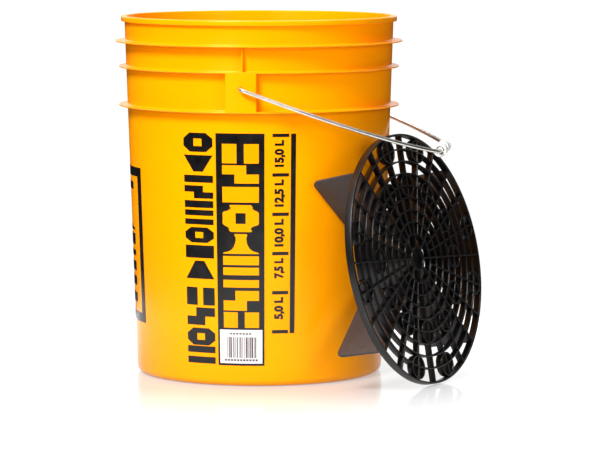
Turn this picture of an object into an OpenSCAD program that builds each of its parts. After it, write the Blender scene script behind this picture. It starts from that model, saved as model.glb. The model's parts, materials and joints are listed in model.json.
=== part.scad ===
// Wash bucket: a tapered pail with a wire bail and a roller grip, and the round grit guard that
// belongs in its foot, standing on edge beside it.
// Z is up and the origin is the middle of the pail's underside. The bail lies over the +X side.

/* [Pail] */
// Height of the pail over its rim
pail_h = 385; // [320:1:462]
// Outer radius of the wall, run down to the underside
wall_r_foot = 132.3; // [112:0.1:158]
// Outer radius of the wall, run up to the rim
wall_r_top = 145.2; // [133:0.1:174]
// Thickness of the wall
wall_t = 2.3; // [1.6:0.1:3.5]
// Thickness of the floor
floor_t = 3; // [2:0.1:6]
// Rounding between wall and underside
foot_round = 7; // [3:0.5:12]
// How far the rim's lip stands out from the wall
lip_out = 3.6; // [2:0.1:5]
// Height of the rim's lip
lip_h = 5.7; // [4:0.1:9]
// Rounding of the rim's top edge
lip_round = 1.4; // [0.5:0.1:1.9]

/* [Bands] */
// Thickness of the bands that run round the wall
band_t = 1.9; // [1.2:0.1:3]
// How far the upper band stands out
upper_out = 10.6; // [8.6:0.1:13]
// How far the two lower bands stand out, and the ears with them
lower_out = 9.2; // [8.4:0.1:12]
// Depth of the upper band's middle below the rim
upper_drop = 27; // [22:0.5:32]
// Depth of the middle band below the rim
middle_drop = 54.3; // [45:0.1:60]
// Depth of the lower band below the rim
lower_drop = 95.7; // [84:0.1:120]
// Thickness of the gusset between the upper and the middle band
gusset_t = 1.8; // [1:0.1:3]
// Turn of the gusset from the ear's middle, in degrees
gusset_turn = 0.5; // [0:0.1:5]

/* [Ears] */
// Turn of the ears away from the Y axis, in degrees
ear_turn = 6.6; // [0:0.1:20]
// Width of an ear
ear_w = 33; // [28:0.5:42]
// Thickness of an ear's face and cheeks
ear_t = 2.2; // [1.6:0.1:2.6]
// Depth of the bail's hole below the rim
hole_drop = 70.8; // [66:0.1:80]
// Clearance round the wire in its holes
wire_clear = 0.1; // [0.05:0.01:0.1]

/* [Bail] */
// Diameter of the wire
wire_d = 4.2; // [3.5:0.1:5]
// Reach of the bail, from its holes to the middle of the grip
bail_reach = 211; // [175:1:254]
// Straight length of each leg
leg_l = 46.8; // [39:0.1:56]
// Turn of the bail's long bow, in degrees
bow_turn = 60; // [55:1:66]
// Gap between a leg and the upper band
leg_gap = 0.7; // [0.4:0.1:4]
// Bend radius where a leg turns into its hole
leg_bend = 5; // [4:0.5:6]
// Straight length of the hook inside an ear
hook_l = 3.5; // [2:0.1:5]
// Gap between the bail and what it lies on
rest_gap = 0.4; // [0.3:0.1:2]

/* [Grip] */
// Length of the grip
grip_l = 68; // [56:1:82]
// Outer diameter of the grip's barrel
grip_d = 11.4; // [10.6:0.1:15]
// Diameter of the grip's ribs
rib_d = 14.4; // [12:0.1:18]
// Width of a rib
rib_w = 2.2; // [1.5:0.1:4]
// Thickness of the grip's barrel, sleeve and webs
grip_t = 1.2; // [0.8:0.1:1.3]
// Play of the grip between the bail's bends, at each end
grip_play = 1.5; // [0.5:0.1:5]

/* [Grit guard] */
// Outer radius of the guard
guard_r = 133.5; // [111:0.5:160.5]
// Height of the guard's rim
guard_rim_h = 8.3; // [6:0.1:10]
// Thickness of the guard's rim
guard_rim_t = 2.4; // [1.6:0.1:4]
// Depth of the grille's bars
bar_h = 7.3; // [5:0.1:8.8]
// Thickness of the grille's bars
bar_t = 1.9; // [1.2:0.1:2.4]
// Spacing of the grille's rings
ring_pitch = 13; // [10.9:0.1:15.6]
// Number of spokes
spokes = 24; // [24]
// Depth of the guard at the vanes' outer corners
guard_h = 62.6; // [53:0.1:75]
// Thickness of a vane
vane_t = 2.2; // [1.6:0.1:3]
// Rounding of a vane's outer corner
vane_round = 8; // [4:0.5:12]
// Rise of a vane's lower edge towards the middle, in degrees
vane_rise = 5; // [0:0.5:8]
// Draft of a vane's outer edge, in degrees
vane_draft = 2; // [0:0.5:4]

/* [Guard's place] */
// Turn of the guard's axis from +X towards -Y, in degrees
guard_turn = 31; // [20:0.1:45]
// Lean of the guard against the pail, in degrees
guard_lean = 11.5; // [9:0.1:14]
// Turn of the guard about its own axis, in degrees
guard_spin = 3.5; // [0:0.5:8]
// Gap between the guard and the wall that it leans on
lean_gap = 0.4; // [0.3:0.1:2]

/* [Print] */
// Thickness of the printed film
film_t = 0.12; // [0.1:0.01:0.3]
// Thickness of the paper label
label_t = 0.12; // [0.1:0.01:0.3]
// Gap between a film or the label and what it lies on
film_gap = 0.02; // [0.01:0.01:0.05]
// Height of the foot of the print
print_low = 22.4; // [20:0.1:30]
// Height of the print's field
print_h = 245; // [205:1:250]
// Distance between two marks of the litre scale
mark_step = 41.4; // [36:0.1:42]

/* [Hidden] */
$fn = 96;
wire_r = wire_d / 2;

// Outer radius of the plain wall at a height
function wall_r(z) = wall_r_foot + (wall_r_top - wall_r_foot) * z / pail_h;

upper_z = pail_h - upper_drop;
middle_z = pail_h - middle_drop;
lower_z = pail_h - lower_drop;
hole_z = pail_h - hole_drop;
upper_r = wall_r(upper_z) + upper_out;
ear_r = wall_r(lower_z) + lower_out;
lip_r = wall_r(pail_h) + lip_out;
ear_in_r = ear_r - ear_t;
hook_r = (wall_r(hole_z) + ear_in_r) / 2;
hook_bend = ear_in_r - hook_r;

// Bail, flat: reach along X, the line of its holes along Y
leg_y = upper_r + leg_gap + wire_r;
grip_run = grip_l / 2 + grip_play;
// The two bows of one side share a tangent: long_r turns bow_turn, short_r turns the rest
bow_drop = leg_y - grip_run;
bow_run = bail_reach - leg_l;
bow_s = sin(bow_turn);
bow_c = cos(bow_turn);
bow_det = (1 - bow_c) * (1 - bow_s) - bow_c * bow_s;
long_r = (bow_drop * (1 - bow_s) - bow_run * bow_c) / bow_det;
short_r = (bow_run * (1 - bow_c) - bow_drop * bow_s) / bow_det;

// Guard, flat: its top face at Z 0, its rim and vanes below
guard_in_r = guard_r - guard_rim_t;
hub_r = ring_pitch;
vane_r = guard_r - 1;
vane_foot_r = vane_r - (guard_h - bar_h) * tan(vane_draft);
function vane_depth(r) = guard_h - (vane_foot_r - r) * tan(vane_rise);
guard_z = guard_r * cos(guard_lean) + guard_rim_h * sin(guard_lean);
function spun(r, a, z) = [r * cos(a - guard_spin), r * sin(a - guard_spin), z];

// Points that bound the guard: both edges of the rim, and each vane's lower and outer edges on both
// of its faces, as if its corner were sharp
rim_steps = [0:3:357];
vane_turns = [45, 135, 225, 315];
guard_edge = concat(
    [for (a = rim_steps, z = [0, -guard_rim_h]) spun(guard_r, a, z)],
    [for (a = vane_turns, r = [10:4:vane_foot_r], side = [-1, 1])
        spun(r, a + side * asin(vane_t / 2 / r), -vane_depth(r))],
    [for (a = vane_turns, t = [0:0.2:1], side = [-1, 1])
        let (r = vane_foot_r + t * (vane_r - vane_foot_r))
        spun(r, a + side * asin(vane_t / 2 / r), -guard_h + t * (guard_h - bar_h))]
);

// The guard's frame turned into the pail's, with its top face's middle at a distance from the axis
function lean(p, away) =
    let (
        x = p[0] * sin(guard_lean) + p[2] * cos(guard_lean) + away,
        z = -p[0] * cos(guard_lean) + p[2] * sin(guard_lean) + guard_z,
        c = cos(guard_turn),
        s = sin(guard_turn)
    ) [x * c + p[1] * s, -x * s + p[1] * c, z];

// And back again
function unlean(q, away) =
    let (
        c = cos(guard_turn),
        s = sin(guard_turn),
        x = q[0] * c - q[1] * s - away,
        y = q[0] * s + q[1] * c,
        z = q[2] - guard_z
    ) [x * sin(guard_lean) - z * cos(guard_lean), y, x * cos(guard_lean) + z * sin(guard_lean)];

// Radius that the pail fills at a height, bands included
function pail_r(z) =
    z > upper_z - band_t ? upper_r :
    z > lower_z - band_t ? ear_r : wall_r(z);

function guard_room(away) = min([
    for (p = guard_edge) let (q = lean(p, away)) norm([q[0], q[1]]) - pail_r(q[2])
]);

// Halving finds where the guard first touches the wall
function settle_guard(low, high, steps) =
    let (mid = (low + high) / 2)
    steps == 0 ? high :
    guard_room(mid) > lean_gap ? settle_guard(low, mid, steps - 1) : settle_guard(mid, high, steps - 1);
guard_away = settle_guard(wall_r_foot, 3 * wall_r_top, 24);

// Points along one side of the bail, with the radius that stands round each
function bow_point(a) =
    a < bow_turn
        ? [leg_l + long_r * sin(a), leg_y - long_r * (1 - cos(a))]
        : [bail_reach - short_r * (1 - sin(a)), grip_run + short_r * cos(a)];
bail_line = concat(
    [for (x = [leg_bend:4:leg_l]) [x, leg_y, wire_r]],
    [for (a = [0:1:90]) let (p = bow_point(a)) [p[0], p[1], wire_r]],
    [for (y = [0:2:grip_l / 2]) [bail_reach, y, rib_d / 2]]
);

// A point of the bail, dropped by an angle below level
function hang(x, y, drop) =
    let (c = cos(ear_turn), s = sin(ear_turn))
    [x * cos(drop) * c + y * s, -x * cos(drop) * s + y * c, hole_z - x * sin(drop)];

function past(v) = max(v, 0);
function disc_gap(p) = norm([
    past(norm([p[0], p[1]]) - guard_r), past(p[2]), past(-guard_rim_h - p[2])
]);
function vane_gap(p) = min([
    for (a = vane_turns)
        let (
            along = p[0] * cos(a - guard_spin) + p[1] * sin(a - guard_spin),
            off = -p[0] * sin(a - guard_spin) + p[1] * cos(a - guard_spin)
        )
        norm([past(along - vane_r), past(-along), past(abs(off) - vane_t / 2),
            past(p[2]), past(-guard_h - p[2])])
]);
function bail_room(drop) = min([
    for (p = bail_line, side = [-1, 1])
        let (q = unlean(hang(p[0], side * p[1], drop), guard_away))
        min(disc_gap(q), vane_gap(q)) - p[2]
]);

// The bail is lowered until it is about to touch the guard, and halving finds that angle
function first_touch(drop) =
    drop >= 60 ? 60 : bail_room(drop) <= rest_gap ? drop : first_touch(drop + 1);
function settle_bail(low, high, steps) =
    let (mid = (low + high) / 2)
    steps == 0 ? low :
    bail_room(mid) > rest_gap ? settle_bail(mid, high, steps - 1) : settle_bail(low, mid, steps - 1);
bail_touch = first_touch(-30);
bail_drop = settle_bail(bail_touch - 1, bail_touch, 18);

echo(guard_away = guard_away, guard_middle = lean([0, 0, 0], guard_away), bail_drop = bail_drop);
echo(long_r = long_r, short_r = short_r, grip_middle = hang(bail_reach, 0, bail_drop));
echo(hole_z = hole_z, hinge_axis = hang(0, -1, 0) - hang(0, 0, 0), upper_r = upper_r, ear_r = ear_r);

// ---- pail ----

// The foot's rounding meets the drafted wall, so its middle lies one radius in from it
module pail_outline() {
    difference() {
        union() {
            polygon([[0, 0], [wall_r(0), 0], [wall_r(pail_h), pail_h], [0, pail_h]]);
            for (b = [[upper_z, upper_r], [middle_z, ear_r], [lower_z, ear_r]])
                translate([wall_r(b[0]) - 1, b[0] - band_t / 2])
                    square([b[1] - wall_r(b[0]) + 1, band_t]);
            translate([wall_r(pail_h) - 1, pail_h - lip_h])
                square([lip_out + 1 - lip_round, lip_h]);
            translate([wall_r(pail_h) - 1, pail_h - lip_h])
                square([lip_out + 1, lip_h - lip_round]);
            translate([lip_r - lip_round, pail_h - lip_round])
                circle(lip_round);
        }
        // Inside of the pail, and the corner that the foot's rounding takes away
        polygon([
            [0, floor_t], [wall_r(floor_t) - wall_t, floor_t],
            [wall_r(pail_h) - wall_t, pail_h + 1], [0, pail_h + 1]
        ]);
        difference() {
            translate([wall_r(foot_round) - foot_round, -1])
                square([foot_round + 5, foot_round + 1]);
            translate([wall_r(foot_round) - foot_round, foot_round])
                circle(foot_round);
        }
        // The inner half of the plane stays empty
        translate([-2, -1])
            square([2, pail_h + 2]);
    }
    // Fillet inside the foot, so that the corner keeps its thickness
    intersection() {
        difference() {
            square([wall_r(foot_round) - wall_t / 2, foot_round + wall_t]);
            translate([wall_r(foot_round) - foot_round - wall_t, foot_round + floor_t])
                circle(foot_round);
            square([wall_r(foot_round) - foot_round - wall_t, pail_h]);
            translate([0, foot_round + floor_t])
                square([wall_r_top, pail_h]);
            square([wall_r_top, floor_t - 0.5]);
        }
        translate([wall_r(foot_round) - foot_round, foot_round])
            circle(foot_round);
    }
}

// An ear is a flat box between the two lower bands, hollow inside for the wire's hook
module ear() {
    cheek_h = middle_z - lower_z;
    difference() {
        intersection() {
            translate([-ear_w / 2, -ear_r, lower_z])
                cube([ear_w, ear_r - wall_r(lower_z) + 6, cheek_h]);
            cylinder(h = pail_h, r = ear_r);
        }
        translate([0, 0, lower_z + band_t / 2])
            intersection() {
                translate([-ear_w / 2 + ear_t, -ear_r, 0])
                    cube([ear_w - 2 * ear_t, ear_r, cheek_h - band_t]);
                cylinder(h = cheek_h, r = ear_in_r);
            }
        cylinder(h = pail_h, r1 = wall_r(0) - wall_t / 2, r2 = wall_r(pail_h) - wall_t / 2);
        translate([0, 0, hole_z])
            rotate([90, 0, 0])
                cylinder(h = 2 * ear_r, r = wire_r + wire_clear);
    }
}

module gusset() {
    rotate([0, 0, gusset_turn])
        translate([-gusset_t / 2, -ear_r + band_t, middle_z])
            cube([gusset_t, ear_r - wall_r(middle_z) - band_t + 1, upper_z - middle_z]);
}

module pail_shell() {
    color("#fdc300") {
        rotate_extrude($fn = 180)
            pail_outline();
        for (side = [0, 180])
            rotate([0, 0, side - ear_turn]) {
                ear();
                gusset();
            }
    }
}

// ---- bail ----

// A length of wire from a point along an axis
module rod(from, turn, length) {
    translate(from)
        rotate(turn)
            cylinder(h = length, r = wire_r, $fn = 32);
}

// A bend about the local Z axis through a middle, from one angle on
module bend(middle, radius, start, turn) {
    translate(middle)
        rotate([0, 0, start])
            rotate_extrude(angle = turn, $fn = 96)
                translate([radius, 0])
                    circle(wire_r, $fn = 32);
}

// A thin collar round the joint of two lengths of wire, square to the wire's run
module collar(at, turn) {
    translate([at[0], at[1], 0])
        rotate([0, 90, turn])
            cylinder(h = 0.2, r = wire_r + 0.01, center = true, $fn = 32);
}

// The side at +Y: the leg's bend into the ear, its hook, the straight leg and the two bows
module bail_side() {
    inner_y = hook_r + hook_bend;
    outer_y = leg_y - leg_bend;
    bend([leg_bend, outer_y, 0], leg_bend, 90, 90);
    rod([0, outer_y, 0], [90, 0, 0], outer_y - inner_y);
    bend([-hook_bend, inner_y, 0], hook_bend, -90, 90);
    rod([-hook_bend, hook_r, 0], [0, -90, 0], hook_l);
    rod([leg_bend, leg_y, 0], [0, 90, 0], leg_l - leg_bend);
    bend([leg_l, leg_y - long_r, 0], long_r, 90 - bow_turn, bow_turn);
    bend([bail_reach - short_r, grip_run, 0], short_r, 0, 90 - bow_turn);
    for (p = [[0, outer_y], [0, inner_y], [bail_reach, grip_run]])
        collar(p, 90);
    for (p = [[-hook_bend, hook_r], [leg_bend, leg_y], [leg_l, leg_y]])
        collar(p, 0);
    collar(bow_point(bow_turn), -bow_turn);
}

module place_bail() {
    translate([0, 0, hole_z])
        rotate([0, bail_drop, -ear_turn])
            children();
}

module bail_wire() {
    color("#c9cbcd")
        place_bail() {
            bail_side();
            mirror([0, 1, 0])
                bail_side();
            rod([bail_reach, -grip_run, 0], [-90, 0, 0], 2 * grip_run);
        }
}

module tube(outer, inner, length) {
    difference() {
        cylinder(h = length, r = outer, center = true, $fn = 64);
        cylinder(h = length + 2, r = inner, center = true, $fn = 64);
    }
}

// A sleeve that turns on the wire, a barrel round it, and webs between the two
module bail_grip() {
    sleeve_r = wire_r + wire_clear;
    color("#f2f1ea")
        place_bail()
            translate([bail_reach, 0, 0])
                rotate([90, 0, 0]) {
                    tube(sleeve_r + grip_t, sleeve_r, grip_l);
                    tube(grip_d / 2, grip_d / 2 - grip_t, grip_l);
                    for (y = [-1, 0, 1])
                        translate([0, 0, y * (grip_l - rib_w) / 2])
                            tube(rib_d / 2, grip_d / 2 - grip_t / 2, rib_w);
                    for (a = [0:90:270])
                        rotate([0, 0, a])
                            translate([sleeve_r + grip_t / 2, -grip_t / 2, -grip_l / 2])
                                cube([grip_d / 2 - grip_t - sleeve_r, grip_t, grip_l]);
                }
}

// ---- grit guard ----

module place_guard() {
    translate([0, 0, guard_z])
        rotate([0, 0, -guard_turn])
            translate([guard_away, 0, 0])
                rotate([0, 90 - guard_lean, 0])
                    rotate([0, 0, -guard_spin])
                        children();
}

module ring_2d(r, t) {
    difference() {
        circle(r + t / 2);
        circle(r - t / 2);
    }
}

// Rings, spokes that reach the first ring or, every third one, the hub, and round bosses
module grille_2d() {
    ring_count = floor((guard_in_r - ring_pitch / 2) / ring_pitch);
    boss_r = ring_pitch - bar_t / 2;
    outer_boss = guard_in_r - ring_pitch;
    inner_boss = 6 * ring_pitch;
    for (i = [2:ring_count])
        ring_2d(i * ring_pitch, bar_t);
    ring_2d(hub_r - bar_t / 2, bar_t);
    for (i = [0:spokes - 1])
        rotate([0, 0, i * 360 / spokes]) {
            inner = i % 3 == 0 ? hub_r - bar_t / 2 : 2 * ring_pitch;
            translate([inner, -bar_t / 2])
                square([guard_in_r + guard_rim_t / 2 - inner, bar_t]);
        }
    for (a = [0:90:270], side = [-1, 1])
        rotate([0, 0, a + side * 360 / spokes])
            translate([outer_boss, 0])
                ring_2d(boss_r, bar_t);
    for (a = [0:30:330])
        rotate([0, 0, a])
            translate([inner_boss, 0])
                ring_2d(boss_r, bar_t);
}

module guard_grille() {
    color("#1d1c1e")
        place_guard() {
            translate([0, 0, -bar_h])
                linear_extrude(height = bar_h)
                    grille_2d();
            // The hub is closed by a plate at its foot, a little wider than its ring
            translate([0, 0, -bar_h])
                cylinder(h = bar_t, r = hub_r + 1);
            translate([0, 0, -guard_rim_h / 2])
                tube(guard_r, guard_in_r, guard_rim_h, $fn = 180);
        }
}

// One vane, standing in the XZ plane: its outer corner is an arc between the two edges
module vane_outline() {
    turn = 90 - vane_rise - vane_draft;
    inset = vane_round * tan(turn / 2);
    corner = [vane_foot_r, -guard_h];
    heel = corner + inset * [-cos(vane_rise), sin(vane_rise)];
    middle = heel + vane_round * [sin(vane_rise), cos(vane_rise)];
    arc = [for (i = [0:8])
        let (a = -90 + vane_rise + i / 8 * turn)
        middle + vane_round * [cos(a), sin(a)]
    ];
    // The rim reaches lower than the bars, so the outer corner stands under it
    notch_z = -max(guard_rim_h, bar_h);
    notch_r = guard_in_r - 0.05;
    polygon(concat([[0, -vane_depth(0)]], arc, [
        [vane_foot_r + (guard_h + notch_z) * tan(vane_draft), notch_z], [notch_r, notch_z],
        [notch_r, -bar_h], [0, -bar_h]
    ]));
}

module guard_vanes() {
    color("#4a4446")
        place_guard()
            for (a = vane_turns)
                rotate([0, 0, a])
                    rotate([90, 0, 0])
                        linear_extrude(height = vane_t, center = true)
                            vane_outline();
}

// ---- print ----

// A skin on the wall between two turns and two heights, over a lift
module wall_patch(from, to, low, high, lift, thick) {
    intersection() {
        difference() {
            translate([0, 0, low])
                cylinder(h = high - low, r1 = wall_r(low) + lift + thick,
                    r2 = wall_r(high) + lift + thick, $fn = 180);
            translate([0, 0, low - 1])
                cylinder(h = high - low + 2, r1 = wall_r(low - 1) + lift,
                    r2 = wall_r(high + 1) + lift, $fn = 180);
        }
        rotate([0, 0, from - 90])
            rotate_extrude(angle = to - from, $fn = 180)
                translate([0, low - 2])
                    square([wall_r_top + 20, high - low + 4]);
    }
}

print_high = print_low + print_h;

// Turns of the print's columns from -Y towards +X, in degrees
strip_from = -33.5;
strip_to = -19.5;
panel_from = -18.1;
panel_to = 3;
scale_from = 6.4;
scale_to = 13.6;
bar_from = 14.4;
bar_to = 16.6;

// Bold blocks in a row up the wall
module word_strip_print() {
    blocks = 12;
    step = print_h / blocks;
    color("#161514")
        for (i = [0:blocks - 1])
            wall_patch(strip_from, strip_to, print_low + i * step,
                print_low + (i + 0.8) * step, film_gap, film_t);
}

module panel_print() {
    color("#161514")
        wall_patch(panel_from, panel_to, print_low, print_high, film_gap, film_t);
}

// Six marks with a block beside five of them, and the upright bar
module litre_scale_print() {
    top_mark = print_high - 2;
    color("#161514") {
        for (i = [0:5])
            wall_patch(scale_from, scale_to, top_mark - i * mark_step - 2,
                top_mark - i * mark_step + 2, film_gap, film_t);
        for (i = [0:4])
            wall_patch(scale_from + 0.8, scale_to - 1.2, top_mark - i * mark_step - 30,
                top_mark - i * mark_step - 6, film_gap, film_t);
        wall_patch(bar_from, bar_to, top_mark - 5 * mark_step - 2, top_mark + 2, film_gap, film_t);
    }
}

// A picture frame a quarter turn from the ears
module side_frame_print() {
    middle = -90 - ear_turn;
    half = 32.5;
    border = 4.2;
    low = 58;
    high = low + 0.68 * print_h;
    edge = border / 57.3 * wall_r(low);
    color("#161514")
        difference() {
            wall_patch(middle - half, middle + half, low, high, film_gap, film_t);
            wall_patch(middle - half + border, middle + half - border, low + edge, high - edge,
                -1, film_t + 2);
        }
}

// White label on the foot of the panel
module paper_label() {
    inset = 0.9;
    color("#f4f4f2")
        wall_patch(panel_from + inset, panel_to - inset, print_low + 2.2, print_low + 38,
            2 * film_gap + film_t, label_t);
}

pail_shell();
bail_wire();
bail_grip();
guard_grille();
guard_vanes();
word_strip_print();
panel_print();
litre_scale_print();
side_frame_print();
paper_label();
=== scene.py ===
"""Wash bucket: a moulded yellow pail with a wire bail and roller grip, black print on its wall, and a
black grit guard standing on edge beside it.

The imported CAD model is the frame. Sizes below are in millimetres, as a maker would give them, and
every mesh is made in metres in the CAD's own frame, with +Z up and the pail's underside at Z 0.
"""

import json
import math

import bmesh
import bpy
import numpy as np
from mathutils import Matrix, Vector


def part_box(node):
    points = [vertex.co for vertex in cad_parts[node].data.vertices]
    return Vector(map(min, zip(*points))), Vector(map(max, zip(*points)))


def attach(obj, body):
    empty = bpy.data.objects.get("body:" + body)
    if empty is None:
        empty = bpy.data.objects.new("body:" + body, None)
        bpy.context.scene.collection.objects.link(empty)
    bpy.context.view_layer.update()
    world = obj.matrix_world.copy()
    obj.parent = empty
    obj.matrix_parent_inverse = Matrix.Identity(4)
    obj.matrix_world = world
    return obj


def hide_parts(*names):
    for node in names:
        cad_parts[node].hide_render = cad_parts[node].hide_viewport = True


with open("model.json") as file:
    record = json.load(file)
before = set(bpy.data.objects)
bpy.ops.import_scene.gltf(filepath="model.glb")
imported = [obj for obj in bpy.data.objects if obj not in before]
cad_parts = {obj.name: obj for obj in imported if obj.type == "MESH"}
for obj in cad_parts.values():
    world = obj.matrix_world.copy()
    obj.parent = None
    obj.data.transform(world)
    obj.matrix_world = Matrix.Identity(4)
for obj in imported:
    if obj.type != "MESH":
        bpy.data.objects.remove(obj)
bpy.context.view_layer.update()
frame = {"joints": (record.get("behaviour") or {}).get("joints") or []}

MM = 0.001
JOINTS = {j["name"]: j for j in frame["joints"]}
TAU = 2 * math.pi

# ---- the pail's sizes ----
PAIL_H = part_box("pail_shell")[1].z / MM
WALL_R_FOOT = 132.3
WALL_R_TOP = 145.2
WALL_T = 2.3
FLOOR_T = 3.0
FOOT_ROUND = 7.0
LIP_OUT = 3.6
LIP_H = 5.7
BAND_T = 1.9
UPPER_Z = PAIL_H - 27.0
MIDDLE_Z = PAIL_H - 54.3
LOWER_Z = PAIL_H - 95.7
EAR_W = 33.0
EAR_T = 2.2
EAR_TURN = 6.6
GUSSET_T = 1.8
GUSSET_TURN = 0.5
HOLE_Z = JOINTS["bail_swing"]["pos_m"][2] / MM
HOLE_R = 2.2


def wall_r(z):
    """Outer radius of the plain wall at a height: it grows evenly from the foot to the rim."""
    return WALL_R_FOOT + (WALL_R_TOP - WALL_R_FOOT) * np.asarray(z, float) / PAIL_H


UPPER_R = float(wall_r(UPPER_Z)) + 10.6
EAR_R = float(wall_r(LOWER_Z)) + 9.2
LIP_R = WALL_R_TOP + LIP_OUT

# ---- the bail's and the grip's ----
WIRE_R = 2.1
LEG_GAP = 0.7
LEG_L = 46.8
LEG_BEND = 5.0
HOOK_L = 3.5
BOW_TURN = 60.0
GRIP_L = 68.0
GRIP_D = 11.4
RIB_D = 14.4
RIB_W = 2.2
GRIP_T = 1.2
GRIP_RUN = GRIP_L / 2 + 1.5

# ---- the grit guard's ----
GUARD_R = 133.5
GUARD_RIM_H = 8.3
GUARD_RIM_T = 2.4
GUARD_H = 62.6
GUARD_TURN = 31.0
GUARD_LEAN = 11.5
GUARD_SPIN = 3.5
BAR_H = 7.3
BAR_T = 1.9
RING_PITCH = 13.0
SPOKES = 24
VANE_T = 2.2
VANE_ROUND = 8.0
VANE_RISE = 5.0
VANE_DRAFT = 2.0


# ---- colours and materials ----


def linear(code):
    """An sRGB hex colour as the linear RGBA that shaders take."""
    parts = [int(code[i : i + 2], 16) / 255 for i in (1, 3, 5)]
    return tuple(c / 12.92 if c <= 0.04045 else ((c + 0.055) / 1.055) ** 2.4 for c in parts) + (1.0,)


def grey(level):
    """A plain number as the colour that a ramp's stop takes."""
    return (level, level, level, 1)


def add(tree, kind, links=None, stops=(), **settings):
    """One shader node, with its settings and its inputs: a value is set, and an output is linked.

    A colour ramp also gets its stops, as (position, colour).
    """
    made = tree.nodes.new(kind)
    for name, value in settings.items():
        setattr(made, name, value)
    for name, value in (links or {}).items():
        socket = made.inputs[name]
        if isinstance(value, bpy.types.NodeSocket):
            tree.links.new(value, socket)
        else:
            socket.default_value = value
    if stops:
        band = made.color_ramp.elements
        band[0].position, band[0].color = stops[0]
        band[1].position, band[1].color = stops[-1]
        for position, colour in stops[1:-1]:
            band.new(position).color = colour
    return made


def drive(tree, socket, pattern, low, high, span=(0.3, 0.7)):
    """Runs a shader's socket from one colour to another, across the middle of a pattern's values."""
    stops = [(span[0], low), (span[1], high)]
    made = add(tree, "ShaderNodeValToRGB", {"Fac": pattern.outputs["Fac"]}, stops)
    tree.links.new(made.outputs["Color"], socket)


def new_material(name, **inputs):
    """A Principled material with constants on its own sockets. Returns it with its tree and shader."""
    material = bpy.data.materials.new(name)
    material.use_nodes = True
    tree = material.node_tree
    shader = tree.nodes["Principled BSDF"]
    for socket, value in inputs.items():
        shader.inputs[socket.replace("_", " ")].default_value = value
    return material, tree, shader


def pail_polypropylene():
    """Injection-moulded polypropylene in deep yellow: glossy, with faint flow marks and light scuffs."""
    material, tree, shader = new_material(
        "moulded_yellow_polypropylene",
        IOR=1.42, Specular_Tint=(1.0, 0.78, 0.3, 1),
        Subsurface_Weight=0.12, Subsurface_Scale=0.004, Subsurface_Radius=(1.0, 0.45, 0.08),
    )
    place = add(tree, "ShaderNodeTexCoord").outputs["Object"]
    clouds = add(tree, "ShaderNodeTexNoise", {"Vector": place, "Scale": 1 / (90 * MM)})
    drive(tree, shader.inputs["Base Color"], clouds, linear("#FF9A00"), linear("#FF9F00"))
    scuffs = add(tree, "ShaderNodeTexNoise", {"Vector": place, "Scale": 1 / (14 * MM), "Detail": 5.0})
    drive(tree, shader.inputs["Roughness"], scuffs, grey(0.2), grey(0.27), (0.35, 0.75))
    waves = add(tree, "ShaderNodeTexNoise", {"Vector": place, "Scale": 1 / (40 * MM), "Detail": 1.0})
    relief = {"Height": waves.outputs["Fac"], "Strength": 0.12, "Distance": 0.6 * MM}
    tree.links.new(add(tree, "ShaderNodeBump", relief).outputs["Normal"], shader.inputs["Normal"])
    return material


def galvanised_wire():
    """Drawn steel wire with a bright zinc coat: its shine is patchy, and a little warm."""
    material, tree, shader = new_material("galvanised_steel_wire", Metallic=1.0)
    place = add(tree, "ShaderNodeTexCoord").outputs["Object"]
    patches = add(tree, "ShaderNodeTexNoise", {"Vector": place, "Scale": 1 / (6 * MM), "Detail": 3.0})
    drive(tree, shader.inputs["Base Color"], patches, linear("#DDDAD4"), linear("#F4F1EA"))
    drive(tree, shader.inputs["Roughness"], patches, grey(0.28), grey(0.36))
    return material


def grip_polypropylene():
    """Natural polypropylene, unpigmented: milky white and a little translucent."""
    material, tree, shader = new_material(
        "natural_polypropylene", IOR=1.49, Roughness=0.42,
        Subsurface_Weight=0.15, Subsurface_Scale=0.002, Subsurface_Radius=(1.0, 0.9, 0.75),
    )
    place = add(tree, "ShaderNodeTexCoord").outputs["Object"]
    clouds = add(tree, "ShaderNodeTexNoise", {"Vector": place, "Scale": 1 / (8 * MM)})
    drive(tree, shader.inputs["Base Color"], clouds, linear("#CFCECA"), linear("#DBDAD6"))
    return material


def guard_polypropylene(name, dark, light, rough):
    """Black moulded polypropylene: satin from a spark-eroded tool, with a fine grain. Given grey colours, as
    for the vanes, it carries painted sheen.
    """
    material, tree, shader = new_material(name, IOR=1.49)
    place = add(tree, "ShaderNodeTexCoord").outputs["Object"]
    clouds = add(tree, "ShaderNodeTexNoise", {"Vector": place, "Scale": 1 / (30 * MM)})
    drive(tree, shader.inputs["Base Color"], clouds, linear(dark), linear(light))
    grain = add(tree, "ShaderNodeTexNoise", {"Vector": place, "Scale": 1 / (0.7 * MM), "Detail": 3.0})
    drive(tree, shader.inputs["Roughness"], grain, grey(rough - 0.05), grey(rough + 0.06))
    relief = {"Height": grain.outputs["Fac"], "Strength": 0.25, "Distance": 0.05 * MM}
    tree.links.new(add(tree, "ShaderNodeBump", relief).outputs["Normal"], shader.inputs["Normal"])
    return material


def screen_ink():
    """Black screen-printed ink: as glossy as the wall under it, and a little uneven."""
    material, tree, shader = new_material("black_screen_ink", IOR=1.5)
    place = add(tree, "ShaderNodeTexCoord").outputs["Object"]
    clouds = add(tree, "ShaderNodeTexNoise", {"Vector": place, "Scale": 1 / (12 * MM), "Detail": 4.0})
    drive(tree, shader.inputs["Base Color"], clouds, linear("#0B0A0A"), linear("#151313"))
    drive(tree, shader.inputs["Roughness"], clouds, grey(0.2), grey(0.28))
    return material


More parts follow.
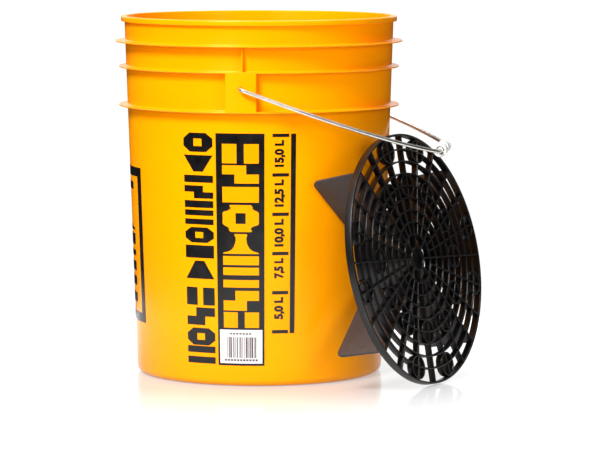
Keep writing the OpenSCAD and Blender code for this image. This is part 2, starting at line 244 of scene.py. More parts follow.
def label_paper():
    """White coated label paper: a slight sheen and a trace of fibre."""
    material, tree, shader = new_material("coated_label_paper", IOR=1.45, Roughness=0.45)
    place = add(tree, "ShaderNodeTexCoord").outputs["Object"]
    fibre = add(tree, "ShaderNodeTexNoise", {"Vector": place, "Scale": 1 / (1.5 * MM), "Detail": 4.0})
    drive(tree, shader.inputs["Base Color"], fibre, linear("#CFC9CA"), linear("#D9D4D5"))
    return material


def label_ink():
    """Thermal print on the label: a soft dark brown."""
    material, tree, shader = new_material("label_print", Roughness=0.5)
    place = add(tree, "ShaderNodeTexCoord").outputs["Object"]
    clouds = add(tree, "ShaderNodeTexNoise", {"Vector": place, "Scale": 1 / (2 * MM)})
    drive(tree, shader.inputs["Base Color"], clouds, linear("#3A302E"), linear("#55474A"))
    return material


# ---- meshes ----


def rounded(corners, steps=4):
    """An outline through corners (r, z, radius), with each corner rounded.

    The rounding starts at radius / tan(half the corner's angle) from the corner on both sides, and
    its arc is the quadratic curve between those two points, pulled out to follow the circle.
    """
    flat = np.array([c[:2] for c in corners], float)
    out = [flat[0]]
    for before, at, after, corner in zip(flat[:-2], flat[1:-1], flat[2:], corners[1:-1]):
        one, two = before - at, after - at
        one, two = one / np.linalg.norm(one), two / np.linalg.norm(two)
        half = math.acos(float(np.clip(one @ two, -1, 1))) / 2
        radius = corner[2]
        if radius <= 0 or half > 1.55:
            out.append(at)
            continue
        middle = at + (one + two) / np.linalg.norm(one + two) * radius / math.sin(half)
        first, last = at + one * radius / math.tan(half), at + two * radius / math.tan(half)
        a0 = math.atan2(*(first - middle)[::-1])
        turn = (math.atan2(*(last - middle)[::-1]) - a0 + math.pi) % TAU - math.pi
        angles = a0 + turn * np.linspace(0, 1, steps + 1)
        out.extend(middle + radius * np.c_[np.cos(angles), np.sin(angles)])
    out.append(flat[-1])
    return np.array(out)


def revolve(outline, sides):
    """A grid of points: the outline's (r, z) turned about Z. The last turn meets the first."""
    angles = TAU * np.linspace(0, 1, sides)
    r, z = outline[:, :1], outline[:, 1:]
    return np.stack([r * np.cos(angles), r * np.sin(angles), z + 0 * angles], axis=-1)


def sweep(line, across, up, outline):
    """A grid of points: a flat outline (a, b) carried along a line, as line + a * across + b * up."""
    return line[:, None] + outline[None, :, :1] * across[:, None] + outline[None, :, 1:] * up[:, None]


def faces_of(rows, columns, around, along):
    """Index quads of a grid, closed around its columns, its rows, or neither."""
    i = np.arange(rows if along else rows - 1)[:, None]
    j = np.arange(columns if around else columns - 1)[None]
    i2, j2 = (i + 1) % rows, (j + 1) % columns
    quads = np.stack([i * columns + j, i * columns + j2, i2 * columns + j2, i2 * columns + j], -1)
    return quads.reshape(-1, 4)


def make(name, grids, body, material, sharp=35, place=None, stands_for=()):
    """A piece from grids of points in millimetres, each as (points, around, along).

    Grids that meet are merged, faces are turned outwards, and the piece is set riding on its body.
    """
    spots, quads, base = [], [], 0
    for points, around, along in grids:
        rows, columns = points.shape[:2]
        spots.append(points.reshape(-1, 3))
        quads.append(faces_of(rows, columns, around, along) + base)
        base += rows * columns
    spots = np.concatenate(spots)
    if place is not None:
        spots = spots @ place[:3, :3].T + place[:3, 3]
    mesh = bpy.data.meshes.new(name)
    mesh.from_pydata((spots * MM).tolist(), [], np.concatenate(quads).tolist())
    work = bmesh.new()
    work.from_mesh(mesh)
    bmesh.ops.remove_doubles(work, verts=work.verts, dist=2e-6)
    bmesh.ops.dissolve_degenerate(work, dist=1e-7, edges=work.edges)
    bmesh.ops.recalc_face_normals(work, faces=work.faces)
    work.to_mesh(mesh)
    work.free()
    mesh.shade_smooth()
    mesh.set_sharp_from_angle(angle=math.radians(sharp))
    piece = bpy.data.objects.new(name, mesh)
    bpy.context.scene.collection.objects.link(piece)
    mesh.materials.append(material)
    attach(piece, body)
    if stands_for:
        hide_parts(*stands_for)
    return piece


# ---- pail ----


def pail_outline():
    """The pail's section as corners (r, z, rounding), from under the floor, up outside and down inside."""
    corners = [(0, 0.6, 0), (9, 0.6, 0.4), (10, 0, 0.4), (float(wall_r(0)) - 0.2, 0, FOOT_ROUND)]
    for z, r in ((LOWER_Z, EAR_R), (MIDDLE_Z, EAR_R), (UPPER_Z, UPPER_R)):
        low, high = z - BAND_T / 2, z + BAND_T / 2
        corners += [
            (float(wall_r(low)), low, 1.2), (r, low + 0.25, 0.7), (r, high - 0.1, 0.7),
            (float(wall_r(high)), high, 1.2),
        ]
    low = PAIL_H - LIP_H
    corners += [
        (float(wall_r(low)), low, 1.0), (LIP_R, low, 0.7), (LIP_R, PAIL_H, 1.4),
        (WALL_R_TOP - WALL_T, PAIL_H, 0.9), (float(wall_r(FLOOR_T)) - WALL_T, FLOOR_T, FOOT_ROUND - 1),
        (60, FLOOR_T, 0), (0, FLOOR_T, 0),
    ]
    return rounded(corners, 5)


def split_long(outline, longest):
    """The same outline with its long straight runs cut into equal shorter ones."""
    out = [outline[:1]]
    for a, b in zip(outline[:-1], outline[1:]):
        cuts = max(1, math.ceil(float(np.linalg.norm(b - a)) / longest))
        out.append(a + (b - a) * (np.arange(1, cuts + 1) / cuts)[:, None])
    return np.concatenate(out)


def wall_point(angle, z, r):
    """Points at turns from -Y towards +X, heights and radii."""
    return np.stack(np.broadcast_arrays(r * np.sin(angle), -r * np.cos(angle), z), -1)


def stand(turn, x, d, z):
    """Points of a plan turned about Z by radians: x across and d outwards, at heights."""
    c, s = math.cos(turn), math.sin(turn)
    return np.stack(np.broadcast_arrays(x * c + d * s, x * s - d * c, z), -1)


def ear_grids(side):
    """One ear: its plan runs out along one cheek, across the curved face and back, at each height.

    The face leaves a square window round the hole. Rings blend from the window's edge to the
    hole's circle, and go on into the hole with a small countersink.
    """
    half, corner = EAR_W / 2, 1.2
    low, high = LOWER_Z + BAND_T / 2 - 0.6, MIDDLE_Z - BAND_T / 2 + 0.6
    # The window's half width, the cuts along each of its edges, and those beside and below it
    window, cuts, beside = 6.0, 12, 5
    turn = side - math.radians(EAR_TURN)
    arc = np.radians(np.linspace(0, 90, 6))
    cross = np.r_[
        np.linspace(-half + corner, -window, beside + 1)[:-1],
        np.linspace(-window, window, cuts + 1),
        np.linspace(window, half - corner, beside + 1)[1:],
    ]
    out = np.sqrt(EAR_R**2 - cross**2)
    edge = math.sqrt(EAR_R**2 - (half - corner) ** 2) - corner
    left = np.c_[-half + corner - corner * np.cos(arc), edge + corner * np.sin(arc)]
    foot = math.sqrt(float(wall_r(LOWER_Z)) ** 2 - half**2) - 1
    plan = np.concatenate([
        [[-half, foot]], left[:-1], np.c_[cross, out], (left[:-1] * [-1, 1])[::-1], [[half, foot]],
    ])
    heights = np.r_[
        np.linspace(low, HOLE_Z - window, beside + 1)[:-1],
        np.linspace(HOLE_Z - window, HOLE_Z + window, cuts + 1),
        np.linspace(HOLE_Z + window, high, 4)[1:],
    ]
    body = stand(turn, plan[None, :, 0], plan[None, :, 1], heights[:, None])
    first = int(np.argmin(abs(plan[:, 0] + window)))
    last = first + cuts
    grids = [
        (body[:, : first + 1], False, False), (body[:, last:], False, False),
        (body[: beside + 1, first : last + 1], False, False),
        (body[beside + cuts :, first : last + 1], False, False),
    ]
    # The back, and a fan over the plan at the foot and at the top
    grids.append((body[:, [0, -1]], False, False))
    for end in (0, -1):
        middle = np.broadcast_to(body[end].mean(0), body[end].shape)
        grids.append((np.stack([body[end], middle]), True, False))
    steps, one = np.linspace(-1, 1, cuts + 1)[:-1], np.ones(cuts)
    ring = window * np.concatenate([
        np.c_[steps, -one], np.c_[one, steps], np.c_[-steps, one], np.c_[-one, -steps],
    ])
    angle = np.arctan2(ring[:, 1], ring[:, 0])
    circle = np.c_[np.cos(angle), np.sin(angle)]
    # Radius and depth of each ring: flat, down the countersink and the hole, and over its bottom
    profile = [
        (4.6, 0), (3.3, 0), (2.95, 0.06), (2.6, 0.35), (HOLE_R + 0.1, 0.7), (HOLE_R, 2.2),
        (HOLE_R, 6.0), (0, 6.0),
    ]
    rings = np.array([ring] + [circle * radius for radius, _ in profile])
    depths = np.array([0.0] + [depth for _, depth in profile])[:, None]
    face = np.sqrt(EAR_R**2 - rings[..., 0] ** 2) - depths
    grids.append((stand(turn, rings[..., 0], face, HOLE_Z + rings[..., 1]), True, False))
    return grids


def gusset_grid(side):
    """A thin upright rib between two bands: its rounded plan outline at each height."""
    tip = EAR_R - BAND_T
    arc = np.linspace(math.pi, 0, 9)
    plan = np.concatenate([
        [[-GUSSET_T / 2 - 0.3, float(wall_r(MIDDLE_Z)) - 1]],
        np.c_[GUSSET_T / 2 * np.cos(arc), tip - GUSSET_T / 2 + GUSSET_T / 2 * np.sin(arc)],
        [[GUSSET_T / 2 + 0.3, float(wall_r(MIDDLE_Z)) - 1]],
    ])
    heights = np.linspace(MIDDLE_Z, UPPER_Z, 6)
    heights = np.r_[heights[0], heights, heights[-1]][:, None]
    # The first and the last row shrink to a point, which closes the foot and the top
    share = np.r_[0, np.ones(6), 0][:, None, None]
    plan = plan.mean(0) + (plan - plan.mean(0)) * share
    turn = side - math.radians(EAR_TURN) + math.radians(GUSSET_TURN)
    return stand(turn, plan[..., 0], plan[..., 1], heights)


def build_pail(plastic):
    """The pail's one moulding: the turned wall with its bands, two ears and two gussets."""
    grids = [(revolve(split_long(pail_outline(), 12), 240), True, False)]
    for side in (0, math.pi):
        grids += ear_grids(side)
        grids.append((gusset_grid(side), True, False))
    return make("pail_moulding", grids, "pail", plastic, 50, stands_for=("pail_shell",))


# ---- bail and grip ----


def bail_frame():
    """Turns the bail's flat frame, reach along X and holes along Y, into the pail's, from the joints."""
    hole = np.array(JOINTS["bail_swing"]["pos_m"]) / MM
    y = -np.array(JOINTS["bail_swing"]["axis"])
    reach = np.array(JOINTS["grip_roll"]["pos_m"]) / MM - hole
    x = reach / np.linalg.norm(reach)
    place = np.eye(4)
    place[:3, :3] = np.c_[x, y, np.cross(x, y)]
    place[:3, 3] = hole
    return place, float(np.linalg.norm(reach))


def arc_points(middle, radius, start, stop, steps):
    """Points on an arc in the bail's plane, between two angles in degrees."""
    a = np.radians(np.linspace(start, stop, steps + 1))
    return np.asarray(middle) + radius * np.c_[np.cos(a), np.sin(a)]


def bail_half(reach):
    """One side of the bail as flat points: hook, bend, leg, long bow and short bow, all tangent."""
    leg_y = UPPER_R + LEG_GAP + WIRE_R
    ear_in = EAR_R - EAR_T
    hook_r = (float(wall_r(HOLE_Z)) + ear_in) / 2
    hook_bend = ear_in - hook_r
    c, s = math.cos(math.radians(BOW_TURN)), math.sin(math.radians(BOW_TURN))
    drop, run = leg_y - GRIP_RUN, reach - LEG_L
    long_r, short_r = np.linalg.solve([[1 - c, c], [s, 1 - s]], [drop, run])
    return np.concatenate([
        [[-hook_bend - HOOK_L, hook_r], [-hook_bend, hook_r]],
        arc_points([-hook_bend, ear_in], hook_bend, -90, 0, 10)[1:],
        arc_points([LEG_BEND, leg_y - LEG_BEND], LEG_BEND, 180, 90, 12),
        arc_points([LEG_L, leg_y - long_r], long_r, 90, 90 - BOW_TURN, 48),
        arc_points([reach - short_r, GRIP_RUN], short_r, 90 - BOW_TURN, 0, 20)[1:],
    ])


def tube_along(line, radius, sides=24):
    """A round tube along a flat line. Its ends close in two rings and a point."""
    run = np.gradient(line, axis=0)
    run /= np.linalg.norm(run, axis=1, keepdims=True)
    across = np.c_[-run[:, 1], run[:, 0], 0 * run[:, 0]]
    along = np.c_[run, 0 * run[:, 0]]
    centre = np.c_[line, 0 * line[:, 0]]
    a = np.linspace(0, TAU, sides, endpoint=False)
    circle = np.c_[np.cos(a), np.sin(a)] * radius
    grid = sweep(centre, across, np.broadcast_to([0.0, 0, 1], across.shape), circle)
    caps = []
    for end, way in ((0, -1), (-1, 1)):
        ring = grid[end] - centre[end]
        # Each ring's share of the radius, and how far past the end it lies
        shape = ((0.85, 0.25), (0.55, 0.35), (0.0, 0.35))
        caps.append(np.array([centre[end] + ring * f + way * along[end] * d for f, d in shape]))
    return np.concatenate([caps[0][::-1], grid, caps[1]])


def build_bail(steel):
    """The wire. Returns the bail's frame and reach, which the grip is placed by."""
    place, reach = bail_frame()
    half = bail_half(reach)
    line = np.concatenate([half, (half * [1, -1])[::-1]])
    tube = tube_along(line, WIRE_R)
    make("bent_wire", [(tube, True, False)], "bail", steel, 40, place, ("bail_wire",))
    return place, reach


def build_grip(plastic, place, reach):
    """The roller: a barrel with rounded ribs, an inner sleeve and four webs, all turned about the wire."""
    half, bore, barrel = GRIP_L / 2, WIRE_R + 0.1, GRIP_D / 2
    rib = RIB_D / 2
    outer = [(barrel - GRIP_T, -half, 0)]
    for y in (-half + RIB_W / 2, 0, half - RIB_W / 2):
        outer += [
            (barrel, y - RIB_W / 2, 0.4), (rib, y - RIB_W / 2 + 0.1, 0.7),
            (rib, y + RIB_W / 2 - 0.1, 0.7), (barrel, y + RIB_W / 2, 0.4),
        ]
    outer[1:3] = [(rib - 0.5, -half, 0.5), (rib, -half + 0.5, 0.5)]
    outer[-2:] = [(rib, half - 0.5, 0.5), (rib - 0.5, half, 0.5)]
    outer += [(barrel - GRIP_T, half, 0.3), (barrel - GRIP_T - 0.1, 0, 0), (barrel - GRIP_T, -half, 0)]
    sleeve = [
        (bore, -half + 0.4, 0), (bore + GRIP_T, -half + 0.4, 0.3), (bore + GRIP_T, half - 0.4, 0.3),
        (bore, half - 0.4, 0), (bore, -half + 0.4, 0),
    ]
    turned = np.array([[1.0, 0, 0, reach], [0, 0, 1, 0], [0, -1, 0, 0], [0, 0, 0, 1]])
    grids = [(revolve(rounded(outer, 4), 64), True, False), (revolve(rounded(sleeve, 3), 40), True, False)]
    web_in, web_out = bore + GRIP_T / 2, barrel - GRIP_T / 2
    for quarter in range(4):
        a = quarter * TAU / 4
        run, side = np.array([math.cos(a), math.sin(a), 0]), np.array([-math.sin(a), math.cos(a), 0])
        loop = np.array([[web_in, -1], [web_out, -1], [web_out, 1], [web_in, 1]]) * [1, GRIP_T / 2]
        ring = loop[:, :1] * run + loop[:, 1:] * side
        ends = np.array([-half + 0.6, half - 0.6])[:, None, None] * np.array([0, 0, 1.0])
        grids.append((ring[None] + ends, True, False))
        for end in (0, 1):
            grids.append((np.stack([ring[:2], ring[3:1:-1]]) + ends[end], False, False))
    make("roller_grip", grids, "grip", plastic, 40, place @ turned, ("bail_grip",))


# ---- grit guard ----


def guard_frame():
    """Turns the guard's flat frame, its top face at Z 0, into the pail's. The rim's box gives its middle."""
    low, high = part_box("guard_grille")
    middle = Matrix.Translation((low + high) / 2 / MM)
    turn = Matrix.Rotation(math.radians(-GUARD_TURN), 4, "Z")
    tilt = Matrix.Rotation(math.radians(90 - GUARD_LEAN), 4, "Y")
    spin = Matrix.Rotation(math.radians(-GUARD_SPIN), 4, "Z")
    return np.array(middle @ turn @ tilt @ spin @ Matrix.Translation((0, 0, GUARD_RIM_H / 2)))


def bar_outline(top, foot, height, tip=0.35):
    """A bar's section as (across, down): a little wider at its foot, with its upper edges rounded."""
    corners = [
        (0, 0, 0), (top / 2, 0, tip), (foot / 2, -height, 0.15), (-foot / 2, -height, 0.15),
        (-top / 2, 0, tip), (0, 0, 0),
    ]
    return rounded(corners, 2)[:-1]


def ring_bar(x, y, radius, sides, lift):
    """A bar bent into a ring round (x, y): each section point keeps its offset from the ring's radius."""
    section = bar_outline(BAR_T - 0.3, BAR_T, BAR_H - lift)
    a = np.linspace(0, TAU, sides, endpoint=False)[:, None]
    r = radius + section[None, :, 0]
    return np.stack([x + r * np.cos(a), y + r * np.sin(a), section[None, :, 1] - lift + 0 * a], -1)


def spoke_bar(angle, start, stop):
    """A straight bar along a turn, from one radius to another, closed by a fan at each end."""
    section = bar_outline(BAR_T - 0.3, BAR_T, BAR_H)
    middle = np.broadcast_to(section.mean(0), section.shape)
    section = np.stack([middle, section, section, middle])
    c, s = math.cos(angle), math.sin(angle)
    r = np.array([start, start, stop, stop])[:, None]
    across = section[..., 0]
    return np.stack([r * c - across * s, r * s + across * c, section[..., 1]], -1)


def build_grille(plastic, place):
    """Rings, spokes and bosses inside the rim. Rings and bosses lie a hair lower than the spokes."""
    inner_r = GUARD_R - GUARD_RIM_T
    grids = [(ring_bar(0, 0, i * RING_PITCH, 160, 0.05), True, True) for i in range(2, 10)]
    grids.append((ring_bar(0, 0, RING_PITCH - BAR_T / 2, 64, 0.05), True, True))
    for i in range(SPOKES):
        start = RING_PITCH - BAR_T / 2 if i % 3 == 0 else 2 * RING_PITCH
        grids.append((spoke_bar(i * TAU / SPOKES, start, inner_r + 0.5), True, False))
    boss_r = RING_PITCH - BAR_T / 2
    for quarter in range(4):
        for side in (-1, 1):
            a = quarter * TAU / 4 + side * TAU / SPOKES
            r = inner_r - RING_PITCH
            grids.append((ring_bar(r * math.cos(a), r * math.sin(a), boss_r, 48, 0.1), True, True))
    for i in range(12):
        a, r = i * TAU / 12, 6 * RING_PITCH
        grids.append((ring_bar(r * math.cos(a), r * math.sin(a), boss_r, 48, 0.1), True, True))
    plate_r = RING_PITCH + 1
    hub = rounded([
        (0, -BAR_H + BAR_T, 0), (plate_r, -BAR_H + BAR_T, 0.3), (plate_r, -BAR_H, 0.3), (0, -BAR_H, 0),
    ])
    grids.append((revolve(hub, 48), True, False))
    rim = rounded([
        (inner_r, -4, 0), (inner_r, 0, 0.6), (GUARD_R, 0, 0.9), (GUARD_R, -GUARD_RIM_H, 0.5),
        (inner_r, -GUARD_RIM_H, 0.3), (inner_r, -4, 0),
    ], 4)
    grids.append((revolve(rim, 240), True, False))
    make("grille", grids, "guard", plastic, 35, place, ("guard_grille",))


def vane_edge():
    """A vane's free edge as (r, z), from the middle out, round the corner and up to the grille."""
    foot = GUARD_R - 1 - (GUARD_H - BAR_H) * math.tan(math.radians(VANE_DRAFT))
    rise = math.tan(math.radians(VANE_RISE))
    corners = [
        (0, -GUARD_H + foot * rise, 0), (foot, -GUARD_H, VANE_ROUND), (GUARD_R - 1.3, -BAR_H + 0.3, 0),
    ]
    return split_long(rounded(corners, 10), 12)


def build_vanes(plastic, place):
    """Four plates. Each point of a plate blends from its free edge to the grille over rounded rows."""
    edge = vane_edge()
    top = np.c_[np.minimum(edge[:, 0], GUARD_R - 1.3), np.full(len(edge), -BAR_H + 0.3)]
    rows = np.array([0, 0.004, 0.012, 0.03, 0.35, 0.7, 1.0])[:, None, None]
    flat = edge[None] * (1 - rows) + top[None] * rows
    swell = np.sqrt(1 - (1 - np.clip(rows[..., 0] / 0.03, 0, 1)) ** 2) * VANE_T / 2
    grids = []
    for quarter in range(4):
        a = math.radians(45 + 90 * quarter)
        run, side = np.array([math.cos(a), math.sin(a), 0]), np.array([-math.sin(a), math.cos(a), 0])
        plate = flat[..., :1] * run + flat[..., 1:] * np.array([0, 0, 1.0])
        for face in (-1, 1):
            grids.append((plate + face * swell[..., None] * side, False, False))
        levels = np.unique(np.r_[-swell.ravel(), swell.ravel()])[:, None, None]
        grids.append((plate[-1] + levels * side, False, False))
    make("vanes", grids, "guard", plastic, 60, place, ("guard_vanes",))


# ---- print ----

INK_T = 0.12
FILM_GAP = 0.02
PRINT_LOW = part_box("panel_print")[0].z / MM
PRINT_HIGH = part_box("panel_print")[1].z / MM
LABEL_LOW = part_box("paper_label")[0].z / MM
LABEL_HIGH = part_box("paper_label")[1].z / MM
FRAME_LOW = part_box("side_frame_print")[0].z / MM
FRAME_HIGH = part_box("side_frame_print")[1].z / MM
WORD_TURNS = (-33.5, -19.5)
PANEL_TURNS = (-18.1, 3.0)
WINDOW_TURNS = (-15.3, 0.6)
LABEL_TURNS = (-17.2, 2.1)
TICK_TURNS = (6.4, 13.6)
NUMERAL_TURNS = (7.3, 12.1)
BAR_TURNS = (14.4, 16.6)
FRAME_TURNS = (-96.6 - 32.5, -96.6 + 32.5)
FRAME_BORDER = 4.2
MARK_STEP = 41.4
TICK_H = 3.5
# Patches that meet stay this far apart, so that each keeps its own closed skin
HAIR = 0.004
# A patch that lies on another film is this thick
OVER_T = 0.02

# How far each numeral runs up the wall, from the top mark's down
NUMERAL_RUNS = (28.2, 28.6, 29.2, 21.4, 23.4)

# The label's bars as (width, gap after it), and its rows of dashes as (count, first turn, pitch in
# degrees, lower and upper height on the label)
LABEL_BARS = [
    (1, 2), (2, 1), (3, 3), (2, 2), (1, 2), (2, 3), (1, 1), (2, 2), (1, 3), (1, 2), (3, 1), (1, 1),
    (1, 1), (2, 1), (3, 2), (1, 1), (2, 0),
]
LABEL_DASHES = [(7, 4.6, 1.45, 30.8, 32.4), (11, 2.2, 1.4, 2.6, 4.6)]

# Bold generic signs as trapezoids: (left, right) at a lower height and (left, right) at an upper
# one, all as shares of the sign's cell. None of them is a letter.
SIGNS = {
    "block": [(0, 1, 0, 0, 1, 1)],
    "bars": [(0, 1, 0, 0, 1, 0.38), (0, 1, 0.62, 0, 1, 1)],
    "nut": [
        (0.22, 0.78, 0, 0, 1, 0.3), (0, 0.36, 0.3, 0, 0.36, 0.7), (0.64, 1, 0.3, 0.64, 1, 0.7),
        (0, 1, 0.7, 0.22, 0.78, 1),
    ],
    "stripes": [(0, 0.42, 0, 0.3, 0.72, 1), (0.58, 1, 0, 0.88, 1, 0.4), (0, 0.12, 0.6, 0, 0.14, 1)],
    "wedge": [(0, 1, 0, 0.34, 0.66, 1)],
    "fall": [(0.34, 0.66, 0, 0, 1, 1)],
    "step": [(0, 0.66, 0, 0, 0.66, 0.5), (0.34, 1, 0.5, 0.34, 1, 1)],
    "rise": [(0.34, 1, 0, 0.34, 1, 0.5), (0, 0.66, 0.5, 0, 0.66, 1)],
    "slot": [(0, 0.4, 0, 0, 0.4, 1), (0.6, 1, 0, 0.6, 1, 1)],
}

# The signs up each column: which one, and its lower and upper height
WORD_SIGNS = [
    ("bars", 23.4, 41.6), ("nut", 42.6, 60.8), ("step", 64, 82.6), ("slot", 85.2, 104),
    ("wedge", 113.2, 132.2), ("block", 135.2, 148.6), ("nut", 151.4, 167.6), ("bars", 170.6, 186),
    ("block", 188.4, 195.8), ("rise", 198.2, 211.6), ("block", 215, 222.6), ("fall", 226.4, 243.8),
    ("nut", 247.2, 267.2),
]
WINDOW_SIGNS = [
    ("slot", 62.6, 79), ("step", 80.8, 101.8), ("bars", 105.2, 126.4), ("block", 129, 138.4),
    ("wedge", 140.8, 161.8), ("nut", 164, 192.4), ("block", 195, 211.4), ("rise", 215, 234),
    ("slot", 236, 256.4),
]
# Signs inside the frame at the side
FRAME_SIGNS = [
    ("block", 78, 88), ("bars", 96, 122), ("block", 128, 134), ("slot", 140, 152), ("wedge", 156, 194),
    ("block", 200, 208),
]


def wall_patch(left, right, low, high, lift, thick=INK_T, rows=2):
    """A printed patch as a closed skin on the wall: every row spans from its left to its right turn.

    left and right are turns in degrees from -Y towards +X, or pairs for the lower and upper edge. A
    point's radius is the wall's at its height, plus the lift, and less the thickness on its back.
    The two faces are grids, and a third grid of two rows runs round their edges.
    """
    share = np.linspace(0, 1, rows)[:, None]
    left, right = np.broadcast_to(left, 2), np.broadcast_to(right, 2)
    start, stop = left[0] + (left[1] - left[0]) * share, right[0] + (right[1] - right[0]) * share
    columns = max(2, math.ceil(float(np.max(stop - start)) / 0.6) + 1)
    angle = np.radians(start + (stop - start) * np.linspace(0, 1, columns))
    z = low + (high - low) * share
    faces = [wall_point(angle, z, wall_r(z) + lift - depth) for depth in (0, thick)]
    edges = [
        np.concatenate([f[0, :-1], f[:-1, -1], f[-1, :0:-1], f[:0:-1, 0]]) for f in faces
    ]
    return [(faces[0], False, False), (faces[1], False, False), (np.stack(edges), True, False)]


def sign_patches(sign, turns, low, high, lift, thick=INK_T):
    """The trapezoids of one sign, set into a cell between two turns and two heights."""
    start, width = turns[0], turns[1] - turns[0]
    grids = []
    for l0, r0, t0, l1, r1, t1 in SIGNS[sign]:
        left, right = start + width * np.array([l0, l1]), start + width * np.array([r0, r1])
        foot, head = low + (high - low) * t0, low + (high - low) * t1
        grids += wall_patch(left, right, foot + HAIR, head - HAIR, lift, thick)
    return grids


def film(name, grids, material, stands_for=()):
    """A printed film or a label on the pail's wall."""
    return make(name, grids, "pail", material, 60, stands_for=stands_for)


def numeral_mesh(text, low, high, lift):
    """A numeral lying on the wall, read upwards: its run is a height, and its rise a turn to the left.

    The flat text is a closed slab, with its strokes thickened by the offset. It is cut every degree
    or so across its rise, so that it follows the curve.
    """
    curve = bpy.data.curves.new("numeral", "FONT")
    curve.body = text
    curve.offset = 0.055
    curve.resolution_u = 4
    curve.extrude = 0.5
    flat = bpy.data.objects.new("numeral", curve)
    bpy.context.scene.collection.objects.link(flat)
    mesh = bpy.data.meshes.new_from_object(flat.evaluated_get(bpy.context.evaluated_depsgraph_get()))
    bpy.data.objects.remove(flat)
    bpy.data.curves.remove(curve)
    work = bmesh.new()
    work.from_mesh(mesh)
    bpy.data.meshes.remove(mesh)
    bmesh.ops.remove_doubles(work, verts=work.verts, dist=1e-5)
    spots = np.array([v.co for v in work.verts])
    first, size = spots.min(0), np.ptp(spots, axis=0)
    for cut in np.linspace(0, 1, 6)[1:-1]:
        bmesh.ops.bisect_plane(
            work, geom=work.verts[:] + work.edges[:] + work.faces[:],
            plane_co=(0, first[1] + size[1] * cut, 0), plane_no=(0, 1, 0),
        )
    spots = (np.array([v.co for v in work.verts]) - first) / size
    z = low + (high - low) * spots[:, 0]
    turn = NUMERAL_TURNS[1] + (NUMERAL_TURNS[0] - NUMERAL_TURNS[1]) * spots[:, 1]
    placed = wall_point(np.radians(turn), z, wall_r(z) + lift - INK_T * (1 - spots[:, 2])) * MM
    work.verts.index_update()
    faces = [[v.index for v in f.verts] for f in work.faces]
    work.free()
    return placed, faces


def add_numerals(piece, texts):
    """Adds the litre marks' numerals to the scale."""
    work = bmesh.new()
    work.from_mesh(piece.data)
    for text, low, high in texts:
        spots, faces = numeral_mesh(text, low, high, FILM_GAP + INK_T)
        verts = [work.verts.new(p) for p in spots]
        for loop in faces:
            work.faces.new([verts[i] for i in loop])
    work.to_mesh(piece.data)
    work.free()
    piece.data.set_sharp_from_angle(angle=math.radians(60))


def build_litre_scale(ink):
    """Six marks 2.5 litres apart, an upright bar beside them, and numerals under the upper five."""
    top = PRINT_HIGH - 2
    lift = FILM_GAP + INK_T
    marks = []
    for i in range(6):
        middle = top - i * MARK_STEP
        marks += wall_patch(*TICK_TURNS, middle - TICK_H / 2, middle + TICK_H / 2, lift)
    marks += wall_patch(*BAR_TURNS, top - 5 * MARK_STEP - TICK_H / 2, top + TICK_H / 2, lift, rows=8)
    scale = film("litre_scale", marks, ink, ("litre_scale_print",))
    texts = []
    for i, length in enumerate(NUMERAL_RUNS):
        high = top - i * MARK_STEP - 4.8
        texts.append((f"{15 - 2.5 * i:.1f} L".replace(".", ","), high - length, high))
    add_numerals(scale, texts)


def build_label(paper, print_ink):
    """A white label with a block of upright bars of uneven widths and two rows of short dashes."""
    lift = 2 * (FILM_GAP + INK_T)
    face = lift + 0.03
    grids = wall_patch(*LABEL_TURNS, LABEL_LOW, LABEL_HIGH, lift, rows=4)
    film("label", grids, paper, ("paper_label",))
    runs = [w for pair in LABEL_BARS for w in pair]
    unit = (LABEL_TURNS[1] - LABEL_TURNS[0] - 6.2) / sum(runs)
    bars, turn = [], LABEL_TURNS[0] + 3.4
    for width, gap in LABEL_BARS:
        bars += wall_patch(turn, turn + width * unit, LABEL_LOW + 6, LABEL_LOW + 28, face, OVER_T)
        turn += (width + gap) * unit
    for count, first, pitch, low, high in LABEL_DASHES:
        for i in range(count):
            left = LABEL_TURNS[0] + first + i * pitch
            bars += wall_patch(left, left + 0.7 * pitch, LABEL_LOW + low, LABEL_LOW + high, face, OVER_T)
    film("label_bars", bars, print_ink)


def build_side_frame(ink):
    """A picture frame a quarter turn from the ears, with a column of signs inside."""
    lift = FILM_GAP + INK_T
    left, right = FRAME_TURNS
    edge = math.radians(FRAME_BORDER) * float(wall_r(FRAME_LOW))
    inner = (left + FRAME_BORDER, right - FRAME_BORDER)
    low, high = FRAME_LOW + edge, FRAME_HIGH - edge
    grids = wall_patch(left, right, FRAME_LOW, low, lift) + wall_patch(left, right, high, FRAME_HIGH, lift)
    for turns in ((left, inner[0]), (inner[1], right)):
        grids += wall_patch(*turns, low + HAIR, high - HAIR, lift, rows=8)
    for sign, foot, head in FRAME_SIGNS:
        grids += sign_patches(sign, (inner[0] + 7, inner[1] - 7), foot, head, lift)
    film("side_frame", grids, ink, ("side_frame_print",))


def build_print(ink, plastic, paper, print_ink):
    """The word column and the panel carry bold signs in place of lettering."""
    lift = FILM_GAP + INK_T
    words = []
    for sign, low, high in WORD_SIGNS:
        words += sign_patches(sign, WORD_TURNS, low, high, lift)
    film("word_column", words, ink, ("word_strip_print",))
    panel = wall_patch(*PANEL_TURNS, PRINT_LOW, PRINT_HIGH, lift, rows=12)
    film("panel", panel, ink, ("panel_print",))
    windows = []
    for sign, low, high in WINDOW_SIGNS:
        windows += sign_patches(sign, WINDOW_TURNS, low, high, lift + 0.04, OVER_T)
    film("panel_windows", windows, plastic)
    build_litre_scale(ink)
    build_side_frame(ink)
    build_label(paper, print_ink)


# ---- stage ----

# In metres, a hair under the pail, so that the two don't share a face
FLOOR_Z = -0.0003
# How much of its full light the sheet gives close to the object, and to other surfaces
SHEET_GLOW = 0.35
SHEET_BOUNCE = 0.6

# The camera looks along +Y from in front, and a little down
SENSOR_W = 36.0
LENS = 198.9
CAMERA_AT = (0.04957, -3.64, 0.5264)
CAMERA_DIP = 0.101


